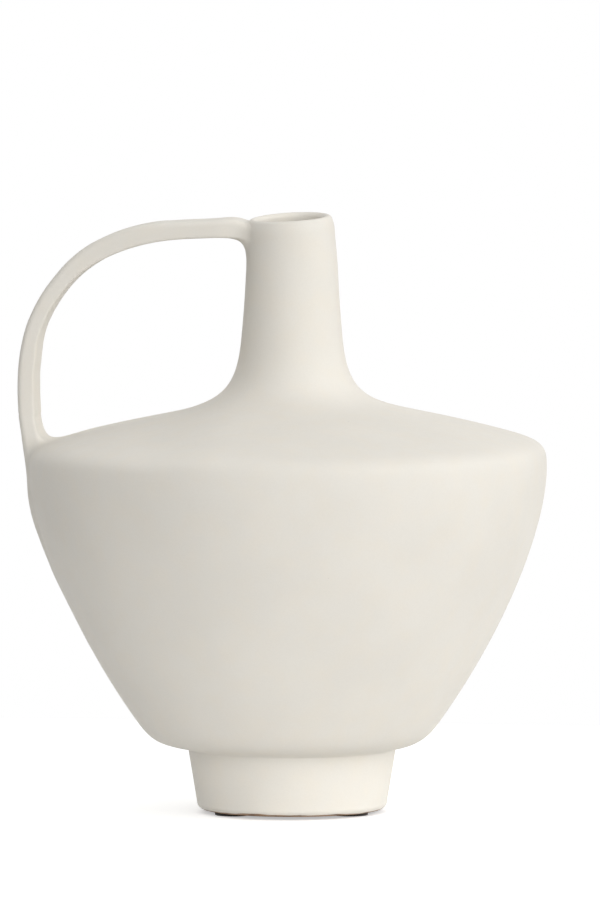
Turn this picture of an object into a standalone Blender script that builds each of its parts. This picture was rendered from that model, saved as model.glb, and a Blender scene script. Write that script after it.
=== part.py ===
"""One-handled ceramic vase: a wide turned body on a narrow foot, with a slim neck and a flat strap handle.

The clay pieces are turned or pulled one by one and joined while leather-hard. Each turned seam is a ridge
that sits in a groove, with a thin line of slip between. The strap butts on the neck and on the side of the
belly, and a fillet of clay is worked into each inner corner. Three pads are glued under the foot.

Sizes are in metres. Heights are measured from the underside of the clay, +Z is up and the handle is at -X.
"""

import math

import bmesh
import bpy
from mathutils import Vector

# Foot
FOOT_BOTTOM_RADIUS = 0.0556
FOOT_TOP_RADIUS = 0.0608
FOOT_HEIGHT = 0.0354
FOOT_EDGE_ROUND = 0.0045
BASE_THICKNESS = 0.0090

# Belly: its underside leaves the foot, turns up at the hip and swells to its widest ring
HIP_OUTSET = 0.0247
HIP_RISE = 0.0117
UNDERSIDE_SLOPE_DEG = 18.2
HIP_FLARE_DEG = 35.4
BELLY_RADIUS = 0.1523
BELLY_HEIGHT = 0.2036

# Shoulder: a rounded edge above the widest ring, then a long shallow slope
SHOULDER_EDGE_INSET = 0.0197
SHOULDER_EDGE_RISE = 0.0165
SHOULDER_SLOPE_DEG = 17.3

# Neck and rim
NECK_RADIUS = 0.0293
NECK_RISE = 0.0796
NECK_LEAN_DEG = 3.7
RIM_HEIGHT = 0.3517
RIM_RADIUS = 0.0254
RIM_COIL_HEIGHT = 0.0140
RIM_LEAN_DEG = 3.2

# Walls and seams
BODY_WALL = 0.0070
RIM_WALL = 0.0053
SEAM_RIDGE = 0.0025
SLIP_GAP = 0.0003
LEAST_WALL_SHARE = 0.93

# Handle strap
HANDLE_WIDTH = 0.0260
HANDLE_THICKNESS = 0.0094
HANDLE_BEND_THICKNESS = 0.0106
HANDLE_DROP = 0.0084
HANDLE_STANDOFF = 0.0048
HANDLE_BEND_WIDTH = 0.1097
HANDLE_UPRIGHT_RISE = 0.0423
HANDLE_BEND_POWER = 2.36
HANDLE_OUTER_ROUND = 0.0030
HANDLE_INNER_ROUND = 0.0009
TAIL_LENGTH = 0.0850
TAIL_WIDTH = 0.0400
TAIL_PROUD = 0.0038
TAIL_TIP_PROUD = 0.0012

# Fillets of clay worked into the handle's inner corners
NECK_FILLET = 0.0080
SHOULDER_FILLET = 0.0100
FILLET_SIDE_STEP = 0.0010
FILLET_ROOT_DEPTH = 0.0050

# Pads under the foot
PAD_COUNT = 3
PAD_RADIUS = 0.0110
PAD_THICKNESS = 0.0015
PAD_EDGE_MARGIN = 0.0005
PAD_BEVEL = 0.0003
FIRST_PAD_DEG = -21.5

# How full each curve is: the pull at its start and end as shares of the straight line between them
UNDERSIDE_PULL_SHARES = (0.57, 0.30)
BOWL_PULL_SHARES = (0.61, 0.07)
EDGE_PULL_SHARES = (0.60, 0.34)
SLOPE_PULL_SHARES = (0.64, 0.44)
NECK_PULL_SHARES = (0.45, 0.45)

# Steps of the turned and swept shapes
TURN_STEPS = 48
PAD_STEPS = 24
FOOT_EDGE_STEPS = 3
UNDERSIDE_STEPS = 4
BOWL_STEPS = 9
EDGE_STEPS = 5
SLOPE_STEPS = 10
SLOPE_STEPS_TO_NECK_SEAM = 6
NECK_STEPS = 3
LIP_STEPS = 6
HANDLE_BEND_STEPS = 14
STRAP_CORNER_STEPS = 2
HANDLE_SIDE_STEPS = 5
TAIL_STEPS = 9
FILLET_STEPS = 6

# Colours, as linear red, green and blue, and roughness
COAT_COLOUR = (0.76, 0.73, 0.66)
COAT_ROUGHNESS = 0.72
CLAY_COLOUR = (0.37, 0.25, 0.17)
CLAY_ROUGHNESS = 0.90
PAD_COLOUR = (0.035, 0.030, 0.026)
PAD_ROUGHNESS = 0.95

# Shading turns sharp past this angle, and points closer than the merge distance are one
SHARP_ANGLE_DEG = 40
MERGE_DISTANCE = 1e-6
PARALLEL_LIMIT = 1e-15


def direction(angle):
    """Unit (radius, height) vector at an angle above straight outwards, in radians."""
    return Vector((math.cos(angle), math.sin(angle)))


def curve(start, start_angle, end, end_angle, pull, steps):
    """Cubic curve between two (radius, height) points with a heading at each end."""
    start, end = Vector(start), Vector(end)
    chord = (end - start).length
    after = start + direction(start_angle) * chord * pull[0]
    before = end - direction(end_angle) * chord * pull[1]
    points = []
    for step in range(steps + 1):
        t = step / steps
        s = 1 - t
        points.append(start * s**3 + after * 3 * s * s * t + before * 3 * s * t * t + end * t**3)
    return points


def smooth_share(share):
    """0 to 1 with level ends."""
    share = min(max(share, 0.0), 1.0)
    return share * share * (3 - 2 * share)


def heading(points, index):
    """Unit vector along a line of points, at one of them."""
    return (points[min(index + 1, len(points) - 1)] - points[max(index - 1, 0)]).normalized()


def outward(along):
    """Unit normal on the outer side of a line that runs upwards."""
    return Vector((along.y, -along.x))


def wall_at(height):
    """The wall thins from the belly to the rim."""
    share = (height - BELLY_HEIGHT) / (RIM_HEIGHT - BELLY_HEIGHT)
    return BODY_WALL + (RIM_WALL - BODY_WALL) * smooth_share(share)


# The outer line of the clay, section by section, from the bottom to the top
underside_way = math.radians(UNDERSIDE_SLOPE_DEG)
hip_way = math.radians(90 - HIP_FLARE_DEG)
upright_way = math.radians(90)
shoulder_way = math.radians(180 - SHOULDER_SLOPE_DEG)
neck_way = math.radians(90 + NECK_LEAN_DEG)
rim_way = math.radians(90 + RIM_LEAN_DEG)
foot_top = Vector((FOOT_TOP_RADIUS, FOOT_HEIGHT))
hip = foot_top + Vector((HIP_OUTSET, HIP_RISE))
belly = Vector((BELLY_RADIUS, BELLY_HEIGHT))
shoulder = belly + Vector((-SHOULDER_EDGE_INSET, SHOULDER_EDGE_RISE))
neck_root = Vector((NECK_RADIUS, BELLY_HEIGHT + NECK_RISE))
lip_round = RIM_WALL / 2
lip_side = Vector((RIM_RADIUS, RIM_HEIGHT - lip_round))
rim_seam = lip_side - Vector((-math.tan(math.radians(RIM_LEAN_DEG)), 1)) * (RIM_COIL_HEIGHT - lip_round)
base_seam_share = (BASE_THICKNESS - FOOT_EDGE_ROUND) / (FOOT_HEIGHT - FOOT_EDGE_ROUND)
foot_side_start = Vector((FOOT_BOTTOM_RADIUS, FOOT_EDGE_ROUND))
base_seam = foot_side_start.lerp(foot_top, base_seam_share)

base_line = [foot_side_start, base_seam]
foot_line = [base_seam, foot_top]
underside_line = curve(foot_top, underside_way, hip, hip_way, UNDERSIDE_PULL_SHARES, UNDERSIDE_STEPS)
bowl_line = curve(hip, hip_way, belly, upright_way, BOWL_PULL_SHARES, BOWL_STEPS)
edge_line = curve(belly, upright_way, shoulder, shoulder_way, EDGE_PULL_SHARES, EDGE_STEPS)
slope_line = curve(shoulder, shoulder_way, neck_root, neck_way, SLOPE_PULL_SHARES, SLOPE_STEPS)
neck_line = curve(neck_root, neck_way, rim_seam, rim_way, NECK_PULL_SHARES, NECK_STEPS)

upper_line = underside_line + bowl_line[1:] + edge_line[1:] + slope_line[1:] + neck_line[1:] + [lip_side]
belly_index = UNDERSIDE_STEPS + BOWL_STEPS
neck_seam_index = belly_index + EDGE_STEPS + SLOPE_STEPS_TO_NECK_SEAM
rim_seam_index = len(upper_line) - 2


def inner_point(point, along):
    return point - outward(along) * wall_at(point.y)


def far_enough(point, line):
    """True where the wall keeps its thickness to every stretch of the outer line."""
    wall = wall_at(point.y)
    for start, end in zip(line, line[1:]):
        run = end - start
        share = min(max((point - start).dot(run) / run.length_squared, 0.0), 1.0)
        if (point - start - run * share).length < LEAST_WALL_SHARE * wall:
            return False
    return True


def seam(outer, inner, along):
    """A ridged seam line across the wall, from the outside in."""
    return [outer, (outer + inner) / 2 + along * SEAM_RIDGE, inner]


def wall_section(line, first, last, low_seam, high_seam):
    """Closed outline of one turned piece between two seams."""
    outer = line[first + 1 : last]
    inner = [inner_point(line[i], heading(line, i)) for i in range(first + 1, last)]
    inner = [point for point in inner if far_enough(point, line)]
    return low_seam[::-1] + outer + high_seam + inner[::-1]


def raised(points, along):
    """A seam line moved up by the thickness of the slip."""
    return [point + along * SLIP_GAP for point in points]


# Seam lines across the wall
foot_along = heading(foot_line, 0)
belly_along = heading(upper_line, belly_index)
neck_along = heading(upper_line, neck_seam_index)
rim_along = heading(upper_line, rim_seam_index)
base_seam_line = seam(base_seam, inner_point(base_seam, foot_along), foot_along)
foot_seam_line = seam(foot_top, inner_point(foot_top, foot_along), foot_along)
belly_seam_line = seam(belly, inner_point(belly, belly_along), belly_along)
neck_seam_point = upper_line[neck_seam_index]
neck_seam_line = seam(neck_seam_point, inner_point(neck_seam_point, neck_along), neck_along)
rim_seam_line = seam(rim_seam, inner_point(rim_seam, rim_along), rim_along)


def collection_object(name, mesh, parent):
    obj = bpy.data.objects.new(name, mesh)
    bpy.context.scene.collection.objects.link(obj)
    obj.parent = parent
    return obj


def finish(obj, colour, roughness):
    """Smooth shading and the piece's own material."""
    obj.data.shade_smooth()
    obj.data.set_sharp_from_angle(angle=math.radians(SHARP_ANGLE_DEG))
    material = bpy.data.materials.new(obj.name)
    material.use_nodes = True
    shader = material.node_tree.nodes["Principled BSDF"]
    shader.inputs["Base Color"].default_value = (*colour, 1)
    shader.inputs["Roughness"].default_value = roughness
    shader.inputs["Metallic"].default_value = 0
    obj.data.materials.append(material)


def coated(obj):
    finish(obj, COAT_COLOUR, COAT_ROUGHNESS)


def turned(name, outline, parent, steps=TURN_STEPS, open_at_axis=False):
    """A solid of revolution from a (radius, height) outline."""
    form = bmesh.new()
    profile = [form.verts.new((point.x, 0, point.y)) for point in outline]
    edges = [form.edges.new(pair) for pair in zip(profile, profile[1:])]
    if not open_at_axis:
        edges.append(form.edges.new((profile[-1], profile[0])))
    bmesh.ops.spin(form, geom=profile + edges, cent=(0, 0, 0), axis=(0, 0, 1), angle=math.tau, steps=steps)
    bmesh.ops.remove_doubles(form, verts=form.verts, dist=MERGE_DISTANCE)
    bmesh.ops.recalc_face_normals(form, faces=form.faces)
    mesh = bpy.data.meshes.new(name)
    form.to_mesh(mesh)
    form.free()
    return collection_object(name, mesh, parent)


def base_disc(parent):
    """The floor, a disc with a rounded bottom edge that the foot wall stands on."""
    centre = Vector((FOOT_BOTTOM_RADIUS - FOOT_EDGE_ROUND, FOOT_EDGE_ROUND))
    edge = []
    for step in range(FOOT_EDGE_STEPS):
        turn = math.pi / 2 * (step / FOOT_EDGE_STEPS - 1)
        edge.append(centre + direction(turn) * FOOT_EDGE_ROUND)
    floor_centre = Vector((0, base_seam_line[-1].y))
    outline = [Vector((0, 0))] + edge + [foot_side_start] + base_seam_line + [floor_centre]
    return turned("base_disc", outline, parent, open_at_axis=True)


def foot_wall(parent):
    outline = raised(base_seam_line, foot_along)[::-1] + foot_seam_line
    return turned("foot_wall", outline, parent)


def lower_bowl(parent):
    low = raised(foot_seam_line, foot_along)
    first_inside = inner_point(foot_top, heading(underside_line, 0))
    outline = wall_section(upper_line, 0, belly_index, low, belly_seam_line) + [first_inside]
    return turned("lower_bowl", outline, parent)


def shoulder_dome(parent):
    low = raised(belly_seam_line, belly_along)
    outline = wall_section(upper_line, belly_index, neck_seam_index, low, neck_seam_line)
    return turned("shoulder", outline, parent)


def neck(parent):
    low = raised(neck_seam_line, neck_along)
    outline = wall_section(upper_line, neck_seam_index, rim_seam_index, low, rim_seam_line)
    return turned("neck", outline, parent)


def rim_coil(parent):
    """The lip, a coil rounded over the top of the neck."""
    centre = lip_side - Vector((lip_round, 0))
    lip = [centre + direction(math.pi * step / LIP_STEPS) * lip_round for step in range(LIP_STEPS + 1)]
    outline = raised(rim_seam_line, rim_along)[::-1] + lip
    return turned("rim_coil", outline, parent)


def grown_line():
    """The outer line of the whole clay form, moved out by the slip gap."""
    line = base_line[:-1] + foot_line + upper_line[1:]
    return [point + outward(heading(line, i)) * SLIP_GAP for i, point in enumerate(line)]


def body_cutter(parent):
    """A solid form of the turned body and its slip, which the handle's pieces are cut to."""
    line = grown_line()
    centre = lip_side - Vector((lip_round, 0))
    turns = [math.pi * step / LIP_STEPS for step in range(1, LIP_STEPS // 2 + 1)]
    top = [centre + direction(turn) * (lip_round + SLIP_GAP) for turn in turns]
    outline = [Vector((0, line[0].y))] + line + top + [Vector((0, top[-1].y))]
    cutter = turned("body_cutter", outline, parent, open_at_axis=True)
    cutter.hide_render = True
    cutter.display_type = "WIRE"
    return cutter


def cut_to_body(obj, cutter):
    cut = obj.modifiers.new("saddle", "BOOLEAN")
    cut.operation = "DIFFERENCE"
    cut.solver = "EXACT"
    cut.object = cutter


def handle_bend():
    """Centre line and thickness of the squared quarter bend, from the neck to the upright."""
    reach = BELLY_RADIUS + HANDLE_STANDOFF
    top = RIM_HEIGHT - HANDLE_DROP
    bend_height = top - BELLY_HEIGHT - HANDLE_UPRIGHT_RISE
    power = 2 / HANDLE_BEND_POWER
    stations = []
    for step in range(HANDLE_BEND_STEPS + 1):
        turn = math.pi / 2 * (1 - step / HANDLE_BEND_STEPS)
        across = math.cos(turn) ** power if step else 0.0
        up = math.sin(turn) ** power if step < HANDLE_BEND_STEPS else 0.0
        centre = Vector((reach - HANDLE_BEND_WIDTH * (1 - across), top - bend_height * (1 - up)))
        thickness = HANDLE_THICKNESS + (HANDLE_BEND_THICKNESS - HANDLE_THICKNESS) * math.sin(2 * turn)
        stations.append((centre, thickness))
    inside_neck = Vector((RIM_RADIUS - RIM_WALL, top))
    if stations[0][0].x > inside_neck.x:
        stations.insert(0, (inside_neck, HANDLE_THICKNESS))
    return stations


def handle_stations():
    """Outer line, inner line and width of the strap, from the neck down to the tip of its tail."""
    bend = handle_bend()
    centres = [centre for centre, _ in bend]
    stations = []
    for i, (centre, thickness) in enumerate(bend):
        along = heading(centres, i)
        if i == len(bend) - 1:
            along = Vector((0, -1))
        out = Vector((-along.y, along.x))
        stations.append((centre + out * thickness / 2, centre - out * thickness / 2, HANDLE_WIDTH))
    upright = stations[-1][0]
    landing = belly + Vector((TAIL_PROUD, 0))
    side = []
    for step in range(1, HANDLE_SIDE_STEPS + 1):
        share = step / HANDLE_SIDE_STEPS
        radius = upright.x + (landing.x - upright.x) * smooth_share(share)
        side.append(Vector((radius, upright.y + (landing.y - upright.y) * share)))
    tail = []
    body = upper_line[: belly_index + 1][::-1]
    for step in range(1, TAIL_STEPS + 1):
        share = step / TAIL_STEPS
        height = BELLY_HEIGHT - TAIL_LENGTH * share
        proud = TAIL_PROUD + (TAIL_TIP_PROUD - TAIL_PROUD) * smooth_share(share)
        tail.append(proud_of(body, height, proud))
    line = [upright] + side + tail
    for i in range(1, len(line)):
        along = heading(line, i)
        out = Vector((-along.y, along.x))
        share = i / (len(line) - 1)
        width = HANDLE_WIDTH + (TAIL_WIDTH - HANDLE_WIDTH) * smooth_share(share)
        stations.append((line[i], line[i] - out * HANDLE_THICKNESS, width))
    return stations


def proud_of(line, height, proud):
    """A point that stands out from a falling line, level with the given height on it."""
    for start, end in zip(line, line[1:]):
        if end.y <= height <= start.y:
            share = (start.y - height) / (start.y - end.y)
            along = (end - start).normalized()
            return start.lerp(end, share) + Vector((-along.y, along.x)) * proud
    return line[-1] + Vector((proud, 0))


def strap_section(outer, inner, width):
    """Section of the strap with rounded corners, from the outer front corner round."""
    depth = (outer - inner).length
    out = (outer - inner) / depth
    half = width / 2
    corners = (
        (depth - HANDLE_OUTER_ROUND, half - HANDLE_OUTER_ROUND, HANDLE_OUTER_ROUND, 0),
        (depth - HANDLE_OUTER_ROUND, HANDLE_OUTER_ROUND - half, HANDLE_OUTER_ROUND, -90),
        (HANDLE_INNER_ROUND, HANDLE_INNER_ROUND - half, HANDLE_INNER_ROUND, 180),
        (HANDLE_INNER_ROUND, half - HANDLE_INNER_ROUND, HANDLE_INNER_ROUND, 90),
    )
    ring = []
    for along_out, across, radius, first_angle in corners:
        for step in range(STRAP_CORNER_STEPS, -1, -1):
            angle = math.radians(first_angle + 90 * step / STRAP_CORNER_STEPS)
            place = inner + out * (along_out + radius * math.cos(angle))
            ring.append((-place.x, across + radius * math.sin(angle), place.y))
    return ring


def handle(parent, cutter, stations):
    """The strap, swept along its line and cut to the neck and the belly."""
    form = bmesh.new()
    rings = [[form.verts.new(co) for co in strap_section(*station)] for station in stations]
    for ring, following in zip(rings, rings[1:]):
        for i in range(len(ring)):
            j = (i + 1) % len(ring)
            form.faces.new((ring[i], ring[j], following[j], following[i]))
    form.faces.new(rings[0])
    form.faces.new(rings[-1][::-1])
    bmesh.ops.recalc_face_normals(form, faces=form.faces)
    mesh = bpy.data.meshes.new("handle")
    form.to_mesh(mesh)
    form.free()
    strap = collection_object("handle", mesh, parent)
    cut_to_body(strap, cutter)
    return strap


def crossing(line, other):
    """Where two lines of points cross: the index in each, and the point."""
    for i, (a, b) in enumerate(zip(line, line[1:])):
        for j, (c, d) in enumerate(zip(other, other[1:])):
            run, cross_run = b - a, d - c
            turn = run.x * cross_run.y - run.y * cross_run.x
            if abs(turn) < PARALLEL_LIMIT:
                continue
            first = ((c.x - a.x) * cross_run.y - (c.y - a.y) * cross_run.x) / turn
            second = ((c.x - a.x) * run.y - (c.y - a.y) * run.x) / turn
            if 0 <= first <= 1 and 0 <= second <= 1:
                return i, j, a + run * first
    raise ValueError("the strap doesn't meet the body")


def walked(start, rest, length):
    """Points from a start along the rest of a line, up to a length, the last one exactly there."""
    points = [start]
    for point in rest:
        step = (point - points[-1]).length
        if step >= length:
            points.append(points[-1].lerp(point, length / step))
            return points
        length -= step
        points.append(point)
    return points


def fillet_outline(corner, strap_side, body_side):
    """A wedge between the strap and the body, hollow on its free side and rooted inside the body."""
    strap_end, body_end = strap_side[-1], body_side[-1]
    hollow = []
    for step in range(1, FILLET_STEPS):
        t = step / FILLET_STEPS
        hollow.append(strap_end * (1 - t) ** 2 + corner * 2 * t * (1 - t) + body_end * t * t)
    return hollow


def extruded(name, outline, width, parent):
    """A flat (radius, height) outline given a width along Y, on the handle's side."""
    form = bmesh.new()
    face = form.faces.new([form.verts.new((-point.x, -width / 2, point.y)) for point in outline])
    raised_face = bmesh.ops.extrude_face_region(form, geom=[face])
    moved = [item for item in raised_face["geom"] if isinstance(item, bmesh.types.BMVert)]
    bmesh.ops.translate(form, verts=moved, vec=(0, width, 0))
    bmesh.ops.recalc_face_normals(form, faces=form.faces)
    mesh = bpy.data.meshes.new(name)
    form.to_mesh(mesh)
    form.free()
    return collection_object(name, mesh, parent)


def clear_of_strap(stations):
    """The strap's inner line with the slip gap, from the neck down."""
    line = []
    for outer, inner, _ in stations:
        line.append(inner + (inner - outer).normalized() * SLIP_GAP)
    return line


def neck_fillet(parent, cutter, stations):
    """Clay worked into the corner under the strap, against the neck."""
    strap_line = clear_of_strap(stations)
    body_line = grown_line()
    i, j, corner = crossing(strap_line, body_line)
    strap_side = walked(corner, strap_line[i + 1 :], NECK_FILLET)
    body_side = walked(corner, body_line[: j + 1][::-1], NECK_FILLET)
    root_top = Vector((corner.x - FILLET_ROOT_DEPTH, corner.y))
    root_low = Vector((body_side[-1].x - FILLET_ROOT_DEPTH, body_side[-1].y))
    hollow = fillet_outline(corner, strap_side, body_side)
    outline = [root_top] + strap_side + hollow + [body_side[-1], root_low]
    piece = extruded("neck_fillet", outline, HANDLE_WIDTH - 2 * FILLET_SIDE_STEP, parent)
    cut_to_body(piece, cutter)
    return piece


def shoulder_fillet(parent, cutter, stations):
    """Clay worked into the corner between the strap and the shoulder."""
    strap_line = clear_of_strap(stations)[::-1]
    body_line = grown_line()
    outside = [k for k, point in enumerate(strap_line) if point.y > BELLY_HEIGHT]
    strap_line = strap_line[outside[0] - 1 :]
    i, j, corner = crossing(strap_line, body_line)
    strap_side = walked(corner, strap_line[i + 1 :], SHOULDER_FILLET)
    body_side = walked(corner, body_line[j + 1 :], SHOULDER_FILLET)
    root = [corner - Vector((0, FILLET_ROOT_DEPTH)), body_side[-1] - Vector((0, FILLET_ROOT_DEPTH))]
    hollow = fillet_outline(corner, strap_side, body_side)
    outline = [root[0]] + strap_side + hollow + [body_side[-1], root[1]]
    piece = extruded("shoulder_fillet", outline, HANDLE_WIDTH - 2 * FILLET_SIDE_STEP, parent)
    cut_to_body(piece, cutter)
    return piece


def foot_pad(number, parent):
    """A glued pad, a bevelled disc that keeps the fired clay off the table."""
    outline = [
        Vector((0, 0)),
        Vector((PAD_RADIUS - PAD_BEVEL, 0)),
        Vector((PAD_RADIUS, PAD_BEVEL)),
        Vector((PAD_RADIUS, PAD_THICKNESS)),
        Vector((0, PAD_THICKNESS)),
    ]
    pad = turned(f"foot_pad_{number + 1}", outline, parent, steps=PAD_STEPS, open_at_axis=True)
    ring = FOOT_BOTTOM_RADIUS - FOOT_EDGE_ROUND - PAD_EDGE_MARGIN - PAD_RADIUS
    angle = math.radians(FIRST_PAD_DEG) + math.tau * number / PAD_COUNT
    pad.location = (ring * math.cos(angle), ring * math.sin(angle), -SLIP_GAP - PAD_THICKNESS)
    return pad


def main():
    for obj in list(bpy.data.objects):
        bpy.data.objects.remove(obj, do_unlink=True)
    axis = bpy.data.objects.new("vase_axis", None)
    bpy.context.scene.collection.objects.link(axis)
    handle_reach = HANDLE_STANDOFF + HANDLE_THICKNESS / 2
    axis.location = (handle_reach / 2, 0, PAD_THICKNESS + SLIP_GAP)

    finish(base_disc(axis), CLAY_COLOUR, CLAY_ROUGHNESS)
    coated(foot_wall(axis))
    coated(lower_bowl(axis))
    coated(shoulder_dome(axis))
    coated(neck(axis))
    coated(rim_coil(axis))

    cutter = body_cutter(axis)
    stations = handle_stations()
    coated(handle(axis, cutter, stations))
    coated(neck_fillet(axis, cutter, stations))
    coated(shoulder_fillet(axis, cutter, stations))
    for number in range(PAD_COUNT):
        finish(foot_pad(number, axis), PAD_COLOUR, PAD_ROUGHNESS)


main()
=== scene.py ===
"""One-handled ceramic vase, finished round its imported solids.

The body is turned in one line and cut into its clay pieces at their joints, then leant, drooped and tilted by a
few millimetres as the hand-made pot is. The strap is worked into the neck and the belly, the foot shows a line
of bare clay under the coat, and three felt pads are glued below it. Sizes are in metres, heights of the clay
are measured from its own underside, +Z is up and the handle is at -X.
"""

import math

import bpy
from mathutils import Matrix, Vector


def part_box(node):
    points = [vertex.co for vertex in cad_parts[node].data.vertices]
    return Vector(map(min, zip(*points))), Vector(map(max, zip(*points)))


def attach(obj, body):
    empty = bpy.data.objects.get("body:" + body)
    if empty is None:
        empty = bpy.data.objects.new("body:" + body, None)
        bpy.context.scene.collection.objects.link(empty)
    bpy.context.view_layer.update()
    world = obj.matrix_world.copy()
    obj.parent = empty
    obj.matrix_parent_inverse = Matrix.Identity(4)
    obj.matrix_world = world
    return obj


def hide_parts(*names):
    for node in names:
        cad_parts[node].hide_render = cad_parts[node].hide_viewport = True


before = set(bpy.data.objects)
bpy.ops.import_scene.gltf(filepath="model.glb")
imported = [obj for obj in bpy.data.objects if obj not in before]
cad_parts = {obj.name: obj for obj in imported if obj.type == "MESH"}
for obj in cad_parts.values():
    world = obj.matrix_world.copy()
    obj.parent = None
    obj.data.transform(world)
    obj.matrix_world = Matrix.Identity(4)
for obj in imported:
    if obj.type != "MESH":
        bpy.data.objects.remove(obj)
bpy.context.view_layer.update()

bl_info = {
    "name": "One-handled ceramic vase",
    "version": (1, 0, 0),
    "blender": (4, 5, 0),
    "location": "3D View > Sidebar > Vase",
    "description": "Turned body, strap handle, felt pads and plain stage of a ceramic vase",
    "category": "Object",
}

# The sockets of a mix node: first, last and result
MIX_SOCKETS = {"FLOAT": (2, 3, 0), "VECTOR": (4, 5, 1), "RGBA": (6, 7, 2)}

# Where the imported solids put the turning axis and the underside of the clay
rim_low, rim_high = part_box("rim_coil")
base_low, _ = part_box("base_disc")
bowl_low, bowl_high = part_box("lower_bowl")
AXIS_X = (rim_low.x + rim_high.x) / 2
CLAY_BASE = base_low.z

# Foot
FOOT_BOTTOM_RADIUS = 0.0561
FOOT_TOP_RADIUS = 0.0613
FOOT_HEIGHT = 0.0359
FOOT_EDGE_ROUND = 0.0045
BASE_THICKNESS = 0.0090
CREASE_ROUND = 0.0010
CREASE_REACH = 0.0015

# Belly and shoulder
HIP_OUTSET = 0.0273
HIP_RISE = 0.0150
UNDERSIDE_SLOPE_DEG = 16.6
HIP_FLARE_DEG = 35.6
BELLY_HEIGHT = 0.2016
SHOULDER_EDGE_INSET = 0.0154
SHOULDER_EDGE_RISE = 0.0185
SHOULDER_SLOPE_DEG = 15.8

# Neck and rim
NECK_RADIUS = 0.0300
NECK_RISE = 0.0764
NECK_LEAN_DEG = 5.4
RIM_RADIUS = 0.0249
RIM_SEAM_RADIUS = 0.0262
RIM_HIGH_SIDE_DEG = 45
RIM_DROP = 0.0002
LIP_START_DEG = 20
RIM_COIL_HEIGHT = 0.0140
RIM_LEAN_DEG = 3.2
BODY_WALL = 0.0070
RIM_WALL = 0.0050
LEAST_WALL_SHARE = 0.93

# How full each curve is: the pull at its start and end as shares of the straight line between them
UNDERSIDE_PULL_SHARES = (0.35, 0.54)
BOWL_PULL_SHARES = (0.447, 0.186)
EDGE_PULL_SHARES = (0.466, 0.633)
SLOPE_PULL_SHARES = (0.706, 0.385)
NECK_PULL_SHARES = (0.45, 0.45)
RIM_PULL_SHARES = (0.50, 0.40)

# Steps of the turned line, about two millimetres each
FLOOR_STEPS = 5
FOOT_EDGE_STEPS = 12
BASE_SIDE_STEPS = 3
FOOT_STEPS = 14
CREASE_STEPS = 6
UNDERSIDE_STEPS = 16
BOWL_STEPS = 84
EDGE_STEPS = 22
SLOPE_STEPS = 60
SLOPE_STEPS_TO_NECK_SEAM = 36
NECK_STEPS = 26
RIM_STEPS = 8
LIP_STEPS = 16
INSIDE_STRIDE = 2
TURNS = 256
PAD_TURNS = 96
MERGE_DISTANCE = 2e-6

# The small faults of the hand: the tree's inputs with the settings that fill them
HAND_FAULTS = {
    "Belly lean": "belly_lean",
    "Foot and neck offset": "axis_offset",
    "Shoulder droop": "shoulder_droop",
    "Rim tilt": "rim_tilt",
    "Rim sag": "rim_sag",
    "Rim shift": "rim_shift",
    "Waviness": "waviness",
}
WAVE_LENGTH = 0.08

# Where each fault sets in or dies away: heights, places across (the handle is at -X) and a distance from the axis
FOOT_TO_BELLY = (0.0354, 0.0410)
SHOULDER_TO_NECK = (0.215, 0.250)
DROOP_BELOW = (0.150, 0.215)
DROOP_ABOVE = (0.250, 0.300)
DROOP_OUTER = (-0.150, -0.118)
DROOP_OUTER_SHARE = 0.5
DROOP_INNER = (-0.070, -0.020)
NECK_TO_RIM = (0.300, 0.345)
RIM_REACH = (0.026, 0.050)
BENT_NECK = (0.320, 0.360)

# Strap
HANDLE_WIDTH = 0.0260
HANDLE_THICKNESS = 0.0094
HANDLE_BEND_THICKNESS = 0.0106
HANDLE_DROP = 0.0084
HANDLE_STANDOFF = 0.0047
HANDLE_BEND_WIDTH = 0.1097
HANDLE_UPRIGHT_RISE = 0.0423
HANDLE_BEND_POWER = 2.36
HANDLE_OUTER_ROUND = 0.0030
HANDLE_INNER_ROUND = 0.0009
HANDLE_BEND_STEPS = 120
TAIL_WIDTH = 0.0320
TAIL_STEPS = 10

# The strap's outer line below the bend: (radius, height) down to the widest ring, then (height, how proud it is)
HANDLE_SIDE_LINE = ((0.1614, 0.2370), (0.1608, 0.2290), (0.1587, 0.2170), (0.1558, 0.2050))
TAIL_PROUD = (
    (0.1940, 0.0006),
    (0.1830, 0.0017),
    (0.1710, 0.0019),
    (0.1590, 0.0007),
    (0.1470, -0.0007),
    (0.1350, -0.0021),
    (0.1170, -0.0070),
    (0.1050, -0.0100),
)

# Where the pulled strap strays from its even curve: length along it, then how proud its outer and inner sides are
STRAP_STRAYS = (
    (0.000, -0.0030, 0.0008),
    (0.007, -0.0014, 0.0010),
    (0.0125, 0.0002, 0.0010),
    (0.017, 0.0006, 0.0009),
    (0.023, 0.0001, 0.0008),
    (0.034, -0.0007, 0.0012),
    (0.050, -0.0008, 0.0012),
    (0.059, -0.0002, 0.0011),
    (0.074, 0.0002, 0.0010),
    (0.090, 0.0005, 0.0007),
    (0.100, 0.0006, 0.0003),
    (0.112, 0.0001, -0.0001),
    (0.125, -0.0006, -0.0003),
    (0.137, -0.0006, -0.0004),
    (0.149, -0.0004, -0.0008),
    (0.156, -0.0001, -0.0010),
    (0.165, -0.0001, -0.0007),
    (0.176, 0.0000, 0.0001),
    (0.184, 0.0000, 0.0001),
    (0.194, 0.0000, 0.0005),
    (0.212, 0.0000, 0.0004),
    (0.225, 0.0000, 0.0000),
    (0.400, 0.0000, 0.0000),
)
STRAY_STEPS = 4

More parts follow.
